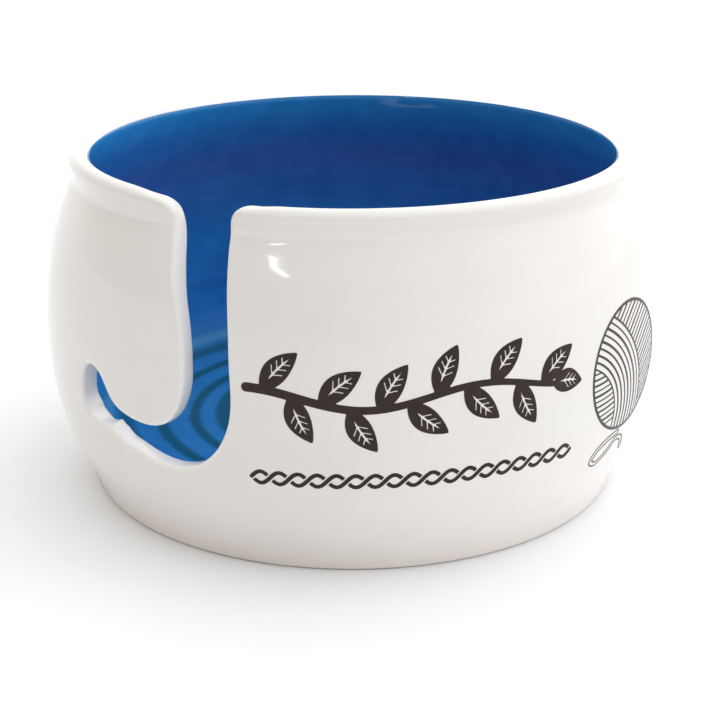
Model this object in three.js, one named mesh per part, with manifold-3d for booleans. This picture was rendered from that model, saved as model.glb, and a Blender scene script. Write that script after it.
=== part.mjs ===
// Yarn bowl: a rounded one-piece earthenware bowl with a J-shaped yarn slot cut through its wall.
// Millimetres, +Z up. The origin is the centre of the foot on the table, and -Y is the decorated
// front. Angles round the bowl are in degrees from the front and grow towards +X.
// The pieces are its layers: the clay body, the white coat outside, the blue lining inside, and
// four printed transfers on the white coat.
import * as THREE from "three";
import { mergeVertices } from "three/addons/utils/BufferGeometryUtils.js";
import Module from "manifold-3d";

const wasm = await Module();
wasm.setup();
const { degToRad, radToDeg } = THREE.MathUtils;

// ---- Driving dimensions ----
const SEGMENTS = 48; // facets round the bowl
const HEIGHT = 90; // table to the top of the rim
const COAT = 0.35; // thickness of the white coat and of the blue lining
const GAP = 0.05; // clearance between neighbouring layers
const PRINT = 0.15; // thickness of a transfer
const FLOOR_Z = 13.3; // top of the lined floor
const COAT_START_Z = 0.3; // lower edge of the white coat
const LINING_TOP_Z = 87.9; // upper edge of the blue lining

// Outside of the white coat, from the foot up to the rim: [radius, z].
const OUTSIDE = [
  [71.45, COAT_START_Z], [72.1, 2.8], [74.5, 9.0], [78.4, 17.2], [81.2, 28.5],
  [82.5, 42.5], [81.9, 54.0], [80.1, 65.2], [77.6, 73.5], [75.1, 79.8],
  [73.6, 83.8], [74.1, 86.9], [73.8, 88.8], [72.8, 89.7],
];
// Crest of the rim and the white coat inside it, down towards the lining: [radius, z].
const RIM = [[71.3, HEIGHT], [69.8, 89.6], [68.9, 88.8]];
// Face of the blue lining, from the rim down to the edge of the flat floor: [radius, z].
const INSIDE = [
  [68.6, LINING_TOP_Z], [68.7, 84.5], [70.6, 78.0], [73.4, 70.0], [75.4, 61.2], [76.6, 51.0],
  [76.9, 41.5], [76.1, 31.0], [74.2, 23.3], [70.6, 18.2], [64.8, 14.9], [57.5, FLOOR_Z],
];
const SKIN = [...OUTSIDE, ...RIM, ...INSIDE];
const LINING_START = OUTSIDE.length + RIM.length; // index in SKIN of the first lining point

// ---- Solids and profiles ----
// Turns a closed geometry into a solid, facing its triangles outwards if they face inwards.
function solidOf(geometry) {
  const bare = geometry.index ? geometry.toNonIndexed() : geometry.clone();
  for (const name of Object.keys(bare.attributes)) {
    if (name !== "position") bare.deleteAttribute(name);
  }
  const merged = mergeVertices(bare, 1e-4);
  const corners = merged.index.array;
  const triangles = [];
  for (let i = 0; i < corners.length; i += 3) {
    const [a, b, c] = [corners[i], corners[i + 1], corners[i + 2]];
    if (a !== b && b !== c && c !== a) triangles.push([a, b, c]);
  }
  const build = (faces) =>
    new wasm.Manifold(
      new wasm.Mesh({
        numProp: 3,
        vertProperties: new Float32Array(merged.attributes.position.array),
        triVerts: new Uint32Array(faces.flat()),
      }),
    );
  const solid = build(triangles);
  return solid.volume() > 0 ? solid : build(triangles.map(([a, b, c]) => [a, c, b]));
}

function geometryOf(solid) {
  const { vertProperties, triVerts } = solid.getMesh();
  const geometry = new THREE.BufferGeometry();
  const positions = new Float32Array(vertProperties);
  geometry.setAttribute("position", new THREE.BufferAttribute(positions, 3));
  geometry.setIndex(new THREE.BufferAttribute(new Uint32Array(triVerts), 1));
  geometry.computeVertexNormals();
  return geometry;
}

// Turns a profile of [radius, z] points round +Z.
function turned(profile) {
  const points = profile.map(([radius, z]) => new THREE.Vector2(radius, z));
  return solidOf(new THREE.LatheGeometry(points, SEGMENTS).rotateX(Math.PI / 2));
}

// Moves a line of points sideways, to the right of its direction of travel. On SKIN a positive
// distance leads out of the clay.
function offset(line, distance, closed = false) {
  const count = line.length;
  const normalOf = (from, to) => {
    const [x, z] = [to[0] - from[0], to[1] - from[1]];
    const length = Math.hypot(x, z);
    return [z / length, -x / length];
  };
  return line.map((point, i) => {
    const previous = line[(i - 1 + count) % count];
    const next = line[(i + 1) % count];
    const before = closed || i > 0 ? normalOf(previous, point) : null;
    const after = closed || i < count - 1 ? normalOf(point, next) : null;
    const [first, second] = [before ?? after, after ?? before];
    const [x, z] = [first[0] + second[0], first[1] + second[1]];
    // The lower bound of 0.5 keeps sharp corners from spiking.
    const scale = distance / Math.max(0.5, (x * x + z * z) / 2);
    return [point[0] + x * scale, point[1] + z * scale];
  });
}

// Radius of the outside of the white coat at a height.
function radiusAt(z) {
  for (let i = 1; i < OUTSIDE.length; i++) {
    const [[lowerR, lowerZ], [upperR, upperZ]] = [OUTSIDE[i - 1], OUTSIDE[i]];
    if (z <= upperZ) {
      return lowerR + ((upperR - lowerR) * Math.max(0, z - lowerZ)) / (upperZ - lowerZ);
    }
  }
  return OUTSIDE.at(-1)[0];
}

// ---- Slot ----
// Outline on the outside of the wall: [degrees from the front, z]. It runs down the left side of
// the channel, round the tongue, out to the hooked end, and back along the bottom and up the
// right side.
const SLOT_OUTLINE = [
  [-43.5, 96.0], [-42.0, 90.4], [-39.6, 89.2], [-37.4, 88.0], [-35.6, 86.3], [-34.6, 84.4],
  [-33.9, 82.2], [-32.4, 76.2], [-31.2, 69.8], [-29.8, 63.5], [-29.0, 59.0], [-28.6, 54.5],
  [-28.57, 49.7], [-28.98, 45.97], [-29.87, 42.5], [-31.0, 39.7], [-32.6, 37.5], [-34.2, 36.35],
  [-37.2, 35.67], [-40.4, 36.17], [-43.0, 37.2], [-45.0, 38.9], [-46.2, 41.1], [-47.4, 43.4],
  [-48.9, 45.3], [-50.6, 45.95], [-52.2, 45.4], [-53.2, 44.0], [-54.3, 39.2], [-54.8, 35.6],
  [-54.4, 33.0], [-52.9, 31.7], [-50.0, 31.2], [-47.5, 30.8], [-44.4, 29.3], [-41.9, 28.3],
  [-38.5, 27.3], [-35.0, 26.45], [-32.4, 26.3], [-29.8, 26.8], [-27.3, 28.2], [-24.9, 30.1],
  [-23.0, 32.7], [-21.6, 36.1], [-20.5, 40.0], [-20.0, 44.4], [-19.95, 49.2], [-20.25, 55.0],
  [-20.65, 63.0], [-21.2, 70.5], [-21.75, 78.0], [-22.0, 83.0], [-21.8, 86.3], [-21.2, 87.9],
  [-20.0, 89.1], [-17.8, 90.3], [-15.8, 96.0],
];
const SLOT_AXIS_DEG = -27; // direction the cut is square to
const SLOT_FALL = 0.105; // drop of the cut for each millimetre inwards
const CUTTER_INNER_R = 61; // inside the hollow
const CUTTER_OUTER_R = 91; // outside the wall

// The outline, grown by a margin, extruded through the wall and bent round the bowl so that the
// cut keeps its width.
function slotCutter(margin) {
  const flat = SLOT_OUTLINE.map(([deg, z]) => {
    const radius = radiusAt(Math.min(z, HEIGHT - 1));
    return [degToRad(deg - SLOT_AXIS_DEG) * radius, z];
  });
  const ring = offset(flat, margin, true).map(([along, z]) => new THREE.Vector2(along, z));
  const geometry = new THREE.ExtrudeGeometry(new THREE.Shape(ring), {
    depth: CUTTER_OUTER_R - CUTTER_INNER_R,
    steps: 2,
    bevelEnabled: false,
    curveSegments: 1,
  });
  const position = geometry.attributes.position;
  for (let i = 0; i < position.count; i++) {
    const radius = CUTTER_INNER_R + position.getZ(i);
    const z = position.getY(i);
    const angle = degToRad(SLOT_AXIS_DEG) + position.getX(i) / radius;
    const fall = z > HEIGHT ? 0 : SLOT_FALL * (radiusAt(z) - radius);
    position.setXYZ(i, radius * Math.sin(angle), -radius * Math.cos(angle), z - fall);
  }
  return solidOf(geometry);
}
const finishedSlot = slotCutter(0);

// ---- Clay body ----
// Face of the clay, one layer and its clearance under the skin.
const CLAY_FACE = offset(SKIN, -(COAT + GAP));
CLAY_FACE[0] = [OUTSIDE[0][0] - COAT - GAP, COAT_START_Z - GAP];

const RECESS_Z = 6.8; // underside of the floor inside the foot ring
// Underside, from the centre out to the edge of the foot ring: [radius, z].
const UNDERSIDE = [
  [0, RECESS_Z], [62.6, RECESS_Z], [64.2, RECESS_Z - 1.2], [65.4, 0], [70.6, 0], [70.9, 0.1],
];

function bowlBody() {
  const profile = [...UNDERSIDE, ...CLAY_FACE, [0, FLOOR_Z - COAT - GAP]];
  return turned(profile).subtract(slotCutter(COAT + GAP));
}

// ---- White coat ----
// The coat is cut from a thick blank by taking away the room for the clay and the lining.
const BLANK_INNER_R = 68;
const BLANK_STEP_Z = 12; // top of the blank's straight inner face
const BLANK_WALL_MIN_Z = 20; // the blank follows the inside wall down to this height
const BLANK_LIP_R = 68.5; // inner edge of the blank above the lining
const HOLLOW_REACH = 1; // how far the room reaches past the lining into the hollow

function coatBlank() {
  const wall = CLAY_FACE.slice(LINING_START);
  const wallEnd = wall.findIndex(([, z]) => z < BLANK_WALL_MIN_Z);
  return turned([
    ...OUTSIDE,
    ...RIM,
    [BLANK_LIP_R, LINING_TOP_Z + GAP],
    [wall[0][0], LINING_TOP_Z + GAP],
    ...wall.slice(1, wallEnd),
    [BLANK_INNER_R, BLANK_STEP_Z],
    [BLANK_INNER_R, COAT_START_Z],
    OUTSIDE[0],
  ]);
}

function roomUnderCoat() {
  const bottomZ = -5; // clear of the table
  const coatBack = offset(SKIN, -COAT);
  const hollow = offset(SKIN, HOLLOW_REACH).slice(LINING_START);
  return turned([
    [0, bottomZ],
    [OUTSIDE[0][0] - COAT, bottomZ],
    ...coatBack.slice(1, LINING_START),
    [coatBack[LINING_START][0], LINING_TOP_Z],
    [hollow[0][0], LINING_TOP_Z],
    ...hollow.slice(1),
    [0, FLOOR_Z + HOLLOW_REACH],
  ]).subtract(slotCutter(COAT)); // leaves the coat on the cut faces of the slot
}

const outerGlaze = () => coatBlank().subtract(finishedSlot).subtract(roomUnderCoat());

// ---- Blue lining ----
function innerGlaze() {
  const back = offset(INSIDE, -COAT);
  back[0][1] = LINING_TOP_Z;
  const profile = [[0, FLOOR_Z - COAT], ...back.reverse(), ...INSIDE, [0, FLOOR_Z]];
  return turned(profile).subtract(finishedSlot);
}

// ---- Transfers ----
// Flat artwork is a set of closed outlines of [along the wall, z] points. It is extruded through
// the wall and kept only where it meets a thin layer that follows the white coat.
const WRAP_R = 82; // radius that turns a length along the wall into an angle
const SHEET_START = 35; // distance from the bowl's axis where the extrusion starts
const SHEET_DEPTH = 60;

const printedFace = OUTSIDE.slice(2, 10);
const printBack = offset(printedFace, GAP);
const printFront = offset(printedFace, GAP + PRINT);
const printLayer = turned([...printBack, ...printFront.reverse(), printBack[0]]);

function transfer(artwork, middleDeg) {
  const flatten = (line) =>
    line.map(([along, z]) => {
      return new THREE.Vector2((radiusAt(z) + GAP) * Math.sin(along / WRAP_R), z);
    });
  const solids = artwork.map(({ outline, hole }) => {
    const shape = new THREE.Shape(flatten(outline));
    if (hole) shape.holes.push(new THREE.Path(flatten(hole)));
    const geometry = new THREE.ExtrudeGeometry(shape, {
      depth: SHEET_DEPTH,
      bevelEnabled: false,
      curveSegments: 1,
    });
    // Stand the artwork upright, running outwards, then turn it to its middle direction.
    geometry.rotateX(Math.PI / 2).translate(0, -SHEET_START, 0).rotateZ(degToRad(middleDeg));
    return solidOf(geometry);
  });
  return wasm.Manifold.union(solids).intersect(printLayer);
}

// Outline of a line drawn with a given width and pointed ends.
function stroke(points, width) {
  const tip = (end, neighbour) => {
    const [x, z] = [end[0] - neighbour[0], end[1] - neighbour[1]];
    const reach = (width * 0.42) / Math.hypot(x, z);
    return [end[0] + x * reach, end[1] + z * reach];
  };
  return [
    ...offset(points, width / 2),
    tip(points.at(-1), points.at(-2)),
    ...offset(points, -width / 2).reverse(),
    tip(points[0], points[1]),
  ];
}

// Leaf garland: a wavy stem with leaves on alternate sides and one at its right-hand end.
const GARLAND = { middleDeg: 11.3, z: 48.2, half: 41, sway: 2.2, stemWidth: 2.2, stemStep: 3 };
const LEAF = { count: 11, start: 3.5, pitch: 6.7, length: 12.3, width: 5.8, spreadDeg: 52 };
const END_LEAF = { inset: 8, length: 9.4, tiltDeg: 4 };
const LEAF_STATIONS = [0, 0.14, 0.4, 0.68, 0.9, 1]; // fractions of the leaf's length

function leaf(root, deg, length) {
  const [cos, sin] = [Math.cos(degToRad(deg)), Math.sin(degToRad(deg))];
  // The powers set the widest point towards the root and round the sides.
  const halfWidth = (t) => (LEAF.width / 2) * Math.pow(Math.sin(Math.PI * Math.pow(t, 0.85)), 0.8);
  const edge = [
    ...LEAF_STATIONS.map((t) => [t * length, -halfWidth(t)]),
    ...LEAF_STATIONS.slice(1, -1).reverse().map((t) => [t * length, halfWidth(t)]),
  ];
  return edge.map(([x, y]) => [root[0] + x * cos - y * sin, root[1] + x * sin + y * cos]);
}

function leafGarland() {
  const { z, half, sway, stemWidth, stemStep } = GARLAND;
  const stemZ = (along) => z + sway * Math.sin((along / half) * Math.PI * 1.5);
  const slopeDeg = (along) => radToDeg(Math.atan(stemZ(along + 0.5) - stemZ(along - 0.5)));
  const stemEnd = half - END_LEAF.inset;
  const stem = [];
  for (let along = -half; along <= stemEnd; along += stemStep) stem.push([along, stemZ(along)]);

  const artwork = [{ outline: stroke(stem, stemWidth) }];
  for (let i = 0; i < LEAF.count; i++) {
    const along = -half + LEAF.start + i * LEAF.pitch;
    const side = i % 2 === 0 ? 1 : -1;
    const deg = slopeDeg(along) + side * LEAF.spreadDeg;
    artwork.push({ outline: leaf([along, stemZ(along)], deg, LEAF.length) });
  }
  const endDeg = slopeDeg(stemEnd) + END_LEAF.tiltDeg;
  artwork.push({ outline: leaf(stem.at(-1), endDeg, END_LEAF.length) });
  return transfer(artwork, GARLAND.middleDeg);
}

// Twisted cord: two mirrored waves below the garland.
const CORD = { middleDeg: 11.3, z: 28.0, half: 40.5, sway: 1.55, width: 1.0, period: 9 };

function twistedCord() {
  const { z, half, sway, width, period } = CORD;
  const artwork = [1, -1].map((side) => {
    const line = [];
    for (let along = -half; along <= half + 0.01; along += period / 6) {
      const phase = (2 * Math.PI * (along + half)) / period;
      line.push([along, z + side * sway * Math.sin(phase)]);
    }
    return { outline: stroke(line, width) };
  });
  return transfer(artwork, CORD.middleDeg);
}

// Ball of yarn: a round outline with three sets of wound strands.
const BALL = { middleDeg: 55.5, z: 43.5, radius: 16.7, outline: 1.0, strand: 0.8, facets: 28 };
const STRAND_MARGIN = 0.2; // inset from the ball's edge, and overlap onto the front set
const ARC_STEP_DEG = 0.8; // spacing at which an arc is tested
const ARC_STRIDE = 8; // one tested point in this many is drawn
const MIN_RUN = 4; // shorter runs of tested points are dropped

// Each set is struck from its own centre, measured from the middle of the ball. The other two
// sets show only on either side of the front one; keep takes the distance from its centre.
const FRONT = { centre: [-22.8, -12], radii: [16.8, 21.4, 25.9, 30.5], keep: () => true };
const STRAND_SETS = [
  FRONT,
  {
    centre: [-15, 30],
    radii: [20, 24.6, 29.2, 33.8],
    keep: (distance) => distance < FRONT.radii[0] + STRAND_MARGIN,
  },
  {
    centre: [30, -26],
    radii: [23, 27.6, 32.2, 36.8],
    keep: (distance) => distance > FRONT.radii.at(-1) - STRAND_MARGIN,
  },
];

// The visible stretches of one arc, as strokes.
function strands({ centre, keep }, radius) {
  const runs = [[]];
  for (let deg = -180; deg < 180; deg += ARC_STEP_DEG) {
    const x = centre[0] + radius * Math.cos(degToRad(deg));
    const y = centre[1] + radius * Math.sin(degToRad(deg));
    const fromFront = Math.hypot(x - FRONT.centre[0], y - FRONT.centre[1]);
    const inBall = Math.hypot(x, y) < BALL.radius - STRAND_MARGIN;
    if (inBall && keep(fromFront)) runs.at(-1).push([x, y + BALL.z]);
    else runs.push([]);
  }
  return runs
    .filter((run) => run.length >= MIN_RUN)
    .map((run) => run.filter((_, i) => i % ARC_STRIDE === 0 || i === run.length - 1))
    .map((line) => ({ outline: stroke(line, BALL.strand) }));
}

function yarnBall() {
  const circle = (radius) =>
    Array.from({ length: BALL.facets }, (_, i) => {
      const angle = (2 * Math.PI * i) / BALL.facets;
      return [radius * Math.cos(angle), BALL.z + radius * Math.sin(angle)];
    });
  const artwork = [{ outline: circle(BALL.radius), hole: circle(BALL.radius - BALL.outline) }];
  for (const set of STRAND_SETS) {
    for (const radius of set.radii) artwork.push(...strands(set, radius));
  }
  return transfer(artwork, BALL.middleDeg);
}

// Loose end of the strand under the ball, through these points: [along the wall, z].
const TAIL_POINTS = [
  [-1.6, 25.9], [-6.2, 25.2], [-10.6, 23.4], [-12.2, 20.9], [-9.6, 19.4],
  [-5.5, 21.2], [-1.9, 23.8], [1.6, 23.2], [3.6, 19.9],
];
const TAIL = { width: 1.15, divisions: 26 };

function yarnTail() {
  const curve = new THREE.SplineCurve(TAIL_POINTS.map(([x, y]) => new THREE.Vector2(x, y)));
  const line = curve.getPoints(TAIL.divisions).map(({ x, y }) => [x, y]);
  return transfer([{ outline: stroke(line, TAIL.width) }], BALL.middleDeg);
}

// ---- Assembly ----
const CLAY = { color: 0xe9dfcf, roughness: 0.85 };
const WHITE = { color: 0xf1eee8, roughness: 0.12 };
const BLUE = { color: 0x14539b, roughness: 0.1 };
const INK = { color: 0x3d3230, roughness: 0.25 };
const BALL_INK = { color: 0x57504e, roughness: 0.25 };
const TAIL_INK = { color: 0x6a6462, roughness: 0.25 };

const yarnBowl = new THREE.Group();
yarnBowl.name = "yarn_bowl";
for (const [name, build, look] of [
  ["bowl_body", bowlBody, CLAY],
  ["outer_glaze", outerGlaze, WHITE],
  ["inner_glaze", innerGlaze, BLUE],
  ["leaf_garland_transfer", leafGarland, INK],
  ["twisted_cord_transfer", twistedCord, INK],
  ["yarn_ball_transfer", yarnBall, BALL_INK],
  ["yarn_tail_transfer", yarnTail, TAIL_INK],
]) {
  const material = new THREE.MeshStandardMaterial({ ...look, metalness: 0 });
  const mesh = new THREE.Mesh(geometryOf(build()), material);
  mesh.name = name;
  yarnBowl.add(mesh);
}

export default yarnBowl;
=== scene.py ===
"""A round glazed bowl: white coat outside, blue lining inside, bare clay foot, a hooked slot
cut down from the rim, and four prints on the outside.

The bowl stands on its foot with the turning axis along +Z. Lengths are in millimetres from the
centre of the foot until to_world() turns them into metres. Angles run round the axis from -Y,
the side the camera sees, towards +X.
"""
import math

import bpy
import numpy as np
from mathutils import Matrix, Vector, geometry


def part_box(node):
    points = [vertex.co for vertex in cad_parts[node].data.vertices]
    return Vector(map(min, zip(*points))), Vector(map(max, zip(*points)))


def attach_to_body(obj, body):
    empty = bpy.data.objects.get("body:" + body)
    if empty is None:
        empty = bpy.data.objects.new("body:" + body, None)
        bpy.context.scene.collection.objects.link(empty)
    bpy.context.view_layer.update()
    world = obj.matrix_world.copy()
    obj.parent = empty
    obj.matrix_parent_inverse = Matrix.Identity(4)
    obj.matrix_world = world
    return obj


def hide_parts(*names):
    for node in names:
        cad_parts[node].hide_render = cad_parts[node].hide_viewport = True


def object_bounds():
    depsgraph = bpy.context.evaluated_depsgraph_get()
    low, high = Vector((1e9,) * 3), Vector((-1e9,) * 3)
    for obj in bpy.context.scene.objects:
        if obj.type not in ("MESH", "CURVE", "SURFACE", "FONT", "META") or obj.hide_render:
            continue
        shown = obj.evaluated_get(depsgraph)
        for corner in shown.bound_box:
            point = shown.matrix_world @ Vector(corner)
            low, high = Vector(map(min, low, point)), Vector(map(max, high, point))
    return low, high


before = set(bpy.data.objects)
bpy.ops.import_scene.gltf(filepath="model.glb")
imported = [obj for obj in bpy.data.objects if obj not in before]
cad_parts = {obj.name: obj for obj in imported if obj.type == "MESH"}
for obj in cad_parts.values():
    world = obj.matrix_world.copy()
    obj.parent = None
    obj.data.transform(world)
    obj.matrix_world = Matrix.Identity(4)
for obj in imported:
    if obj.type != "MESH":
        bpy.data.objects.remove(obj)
cad_lo, cad_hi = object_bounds()

# ------------------------------------------------------------------ scale and place
COAT_WIDTH = 165.0
coat_lo, coat_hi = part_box("outer_glaze")
MM = (coat_hi.x - coat_lo.x) / COAT_WIDTH     # one millimetre, in metres
CX, CY = (coat_lo.x + coat_hi.x) / 2, (coat_lo.y + coat_hi.y) / 2
Z0 = cad_lo.z
TOP = (coat_hi.z - Z0) / MM                   # height of the rim

# ------------------------------------------------------------------ design
# Outside of the wall: (height, radius)
OUTER = [
    (-3.0, 71.0), (0.0, 71.4), (1.2, 71.62), (2.8, 72.1), (5.4, 73.05), (9.0, 74.55),
    (13.5, 76.78), (18.0, 78.75), (23.0, 80.3), (28.8, 81.4), (35.0, 82.15), (42.0, 82.5),
    (48.0, 82.35), (55.0, 81.75), (63.0, 80.55), (68.0, 79.4), (72.0, 78.15), (75.5, 76.9),
    (78.4, 75.68), (80.6, 74.72), (82.0, 74.05), (83.0, 73.68), (83.9, 73.6), (85.0, 73.78),
    (86.3, 74.05), (87.8, 74.3), (90.0, 74.45), (93.0, 74.45)]
FLOOR_Z = 13.3
# Inside, from above the rim to the middle of the floor: (radius, height)
INNER = [
    (68.5, 93.0), (68.55, 90.0), (68.6, 87.6), (68.7, 84.5), (69.6, 80.6), (71.5, 75.6),
    (73.4, 70.0), (75.3, 62.0), (76.5, 52.5), (76.95, 43.5), (76.65, 35.6), (75.9, 29.8),
    (74.75, 24.8), (73.1, 21.2), (70.7, 18.3), (67.5, 16.0), (63.6, 14.5), (59.5, 13.7),
    (55.0, 13.35)] + [(radius, FLOOR_Z) for radius in (50.0, 40.0, 30.0, 20.0, 10.0, 0.0)]
COAT_START = 0.20                             # lower edge of the white coat
# Foot and hollowed underside, from the coat inwards: (radius, height)
FOOT = [
    (71.02, 0.15), (70.88, 0.09), (70.68, 0.04), (70.42, 0.01), (70.1, 0.0), (69.2, 0.0),
    (67.6, 0.0), (66.1, 0.0), (65.7, 0.05), (65.35, 0.28), (65.1, 0.7), (64.75, 1.6),
    (64.45, 2.8), (64.15, 4.1), (63.75, 5.2), (63.1, 6.05), (62.1, 6.6), (60.6, 6.85),
    (57.0, 6.95), (50.0, 7.0), (43.0, 7.03), (36.0, 7.06), (29.0, 7.08), (22.0, 7.1)]
FOOT_LEAD = (71.15, COAT_START)               # point before the first, for its slope
UNDERSIDE_Z = 7.12
# Lowest rows of the coat: (height, tuck inwards, downward tilt of the normal)
COAT_ROLL = [(1.0, 0.0, 0.0), (0.68, 0.02, 0.15), (0.46, 0.07, 0.45), (0.30, 0.16, 0.9),
             (COAT_START, 0.28, 1.4)]
# Shallow turned rings in the floor, where the glaze pools: (radius, half-width)
RINGS = [(63.0, 2.0), (53.4, 1.6), (44.4, 1.5), (35.5, 3.1), (26.4, 1.8), (17.4, 1.7), (8.6, 1.6)]
RING_DEPTH = 0.10
# Outline of the slot, from its corner at the rim nearer -X, down, round the hook and up
# to the other corner: (degrees, height)
SLOT = [
    (-49.0, 90.0), (-47.5, 90.0), (-46.0, 89.95), (-44.0, 89.8), (-42.0, 89.6), (-40.3, 89.42),
    (-39.0, 89.2), (-37.6, 88.95), (-36.5, 88.6), (-35.6, 88.15), (-34.9, 87.55),
    (-34.38, 86.7), (-34.0, 85.6), (-33.74, 84.3), (-33.5, 82.9), (-33.27, 81.4),
    (-33.0, 79.8), (-32.4, 76.24), (-31.59, 72.03), (-30.75, 67.77), (-29.78, 63.51),
    (-29.05, 59.08), (-28.63, 54.48), (-28.57, 49.72), (-28.98, 45.97), (-29.87, 42.49),
    (-31.05, 39.65), (-32.6, 37.53), (-34.2, 36.4), (-35.6, 35.88), (-37.19, 35.67),
    (-38.81, 35.83), (-40.44, 36.17), (-41.8, 36.6), (-43.09, 37.2), (-44.2, 38.0),
    (-45.15, 39.15), (-45.91, 40.5), (-46.61, 41.95), (-47.37, 43.35), (-48.2, 44.55),
    (-49.1, 45.4), (-50.3, 45.9), (-51.6, 45.8), (-52.6, 45.1), (-53.25, 43.9),
    (-53.66, 42.15), (-54.2, 39.4), (-54.65, 36.6), (-54.75, 34.6), (-54.35, 33.1),
    (-53.3, 32.0), (-51.9, 31.45), (-50.0, 31.2), (-47.7, 30.85), (-45.9, 30.1), (-44.2, 29.3),
    (-41.97, 28.35), (-39.53, 27.6), (-37.26, 26.95), (-35.03, 26.5), (-32.85, 26.35),
    (-30.7, 26.65), (-28.59, 27.45), (-26.6, 28.6), (-25.25, 29.7), (-24.1, 31.0),
    (-23.1, 32.6), (-22.31, 34.2), (-21.6, 36.05), (-21.03, 37.87), (-20.57, 39.7),
    (-20.2, 41.9), (-20.0, 44.37), (-19.93, 46.81), (-19.97, 49.2), (-20.1, 51.53),
    (-20.21, 53.88), (-20.4, 58.48), (-20.62, 62.98), (-20.93, 67.35), (-21.31, 71.63),
    (-21.6, 75.86), (-21.86, 79.57), (-21.98, 82.51), (-22.02, 84.3), (-21.97, 85.7),
    (-21.77, 87.0), (-21.35, 88.05), (-20.65, 88.8), (-19.7, 89.2), (-18.6, 89.42),
    (-17.2, 89.62), (-15.8, 89.8), (-14.6, 89.93), (-13.6, 90.0)]
# Places along the outline
TIP, HOOK_TOP, HOOK_LOW, TURN = (-37.19, 35.67), (-50.3, 45.9), (-54.35, 33.1), (-26.6, 28.6)
AXIS_DEG = -27.0                              # the slot is cut square to this direction

COLUMN_LO, COLUMN_HI = -64.0, -12.0           # degrees: the stretch of wall round the slot
LOW_Z = 21.5                                  # below this the bowl is a plain turned shape
ROW_BREAK_Z = 79.0                            # wall rows change pitch here
RIM_LIP_OUT, RIM_LIP_IN = 2.4, 3.2            # roundness of the rim
SLOT_LIP_OUT, SLOT_LIP_IN = 1.3, 0.95         # roundness of the slot's edges
WHITE_DOWN = 1.9                              # how far down inside the rim the white reaches
PAST_LIP = 0.5                                # edge strip's run past the inside roundness
GLAZE_THICK, CLAY_INSET = 0.30, 0.34
R_FLAT = 82.0                                 # radius at which the wall is unrolled flat

# Change from slot to rim: (degrees where it begins, degrees it takes)
CORNER_LO, CORNER_HI = (-36.6, 7.0), (-20.0, 6.0)
SLOT_BELOW, CORNER_BELOW = 86.0, 80.0         # heights: all slot, start of the corner
INNER_DROP = 0.6                              # the slot's inside edge lies this much lower
# Wander of the inside edge down the slot's first side: (height, mm towards +angle)
ASIDE = [(35.5, -0.1), (38, -0.33), (46, -0.24), (50, -0.40), (54, -0.55), (58, -0.45),
         (64, -0.15), (70, 0.18), (76, 0.65), (84, 0.68), (88, 0.55), (90, 0.1)]
HOOK_ASIDE, HOOK_SPREAD = 2.0, 4.5            # shift at the low end of the hook; in edge points
LOW_SIDE_TOP = 37                             # the slot's lower side lies below this height
# Wander of the inside edge along the lower side: (mm up, at degrees, spread in degrees)
LOW_WANDER = [(-0.55, -51.2, 1.1), (0.95, -48.4, 0.8), (0.85, -54.4, 1.5), (0.25, -42.5, 2.0),
              (0.30, -50.0, 2.5), (0.85, -46.7, 1.2), (-0.32, -35.5, 5.0)]
SPUR_DEG, SPUR_SPREAD = -48.4, 1.7            # the spur under the hook, sharper than the rest
CROWN = 0.10                                  # bulge of the cut face
K_OUT, K_CUT, K_IN, K_BLUE = 7, 6, 7, 4       # steps: outer lip, cut, white and blue inner lip


# ------------------------------------------------------------------ curves
def pchip(xs, ys, at):
    """Monotone cubic through (xs, ys), read at the places in `at`."""
    xs, ys, at = (np.asarray(values, float) for values in (xs, ys, at))
    width = np.diff(xs)
    grade = np.diff(ys) / width
    slope = np.zeros_like(ys)
    slope[0], slope[-1] = grade[0], grade[-1]
    for i in range(1, len(xs) - 1):
        if grade[i - 1] * grade[i] > 0:
            before, after = 2 * width[i] + width[i - 1], width[i] + 2 * width[i - 1]
            slope[i] = (before + after) / (before / grade[i - 1] + after / grade[i])
    k = np.clip(np.searchsorted(xs, at) - 1, 0, len(width) - 1)
    t = (at - xs[k]) / width[k]
    return ((1 + 2 * t) * (1 - t) ** 2 * ys[k] + t * (1 - t) ** 2 * width[k] * slope[k]
            + t * t * (3 - 2 * t) * ys[k + 1] + t * t * (t - 1) * width[k] * slope[k + 1])


def smooth(samples, sigma):
    """Gaussian smoothing of samples one step apart, reflected about the end points."""
    reach = int(math.ceil(4 * sigma))
    weights = np.exp(-0.5 * (np.arange(-reach, reach + 1) / sigma) ** 2)
    weights /= weights.sum()
    lead = 2 * samples[0] - samples[reach:0:-1]
    tail = 2 * samples[-1] - samples[-2:-reach - 2:-1]
    return np.convolve(np.concatenate([lead, samples, tail]), weights, "valid")


def run_along(points):
    """Distance along a polyline at each of its points."""
    return np.concatenate([[0], np.cumsum(np.hypot(*np.diff(points, axis=0).T))])


def nearest(xs, ys, point):
    return int(np.argmin(np.hypot(xs - point[0], ys - point[1])))


def unit(v):
    return v / np.maximum(np.linalg.norm(v, axis=-1, keepdims=True), 1e-12)


def ease(t):
    return t * t * (3 - 2 * t)


def bell(x, at, spread):
    return np.exp(-((x - at) / spread) ** 2)


def spin(radius, th, z):
    """Points, or directions, at an angle round the axis."""
    return np.stack([radius * np.sin(th), -radius * np.cos(th), z], -1)


STEP = 0.05                                   # sampling of both profiles
OUTER_SMOOTH, INNER_SMOOTH = 0.45, 1.6
out_z = np.arange(-3.0, 93.0 + STEP / 2, STEP)
out_r = smooth(pchip(*zip(*OUTER), out_z), OUTER_SMOOTH / STEP)
out_slope = np.gradient(out_r, STEP)

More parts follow.
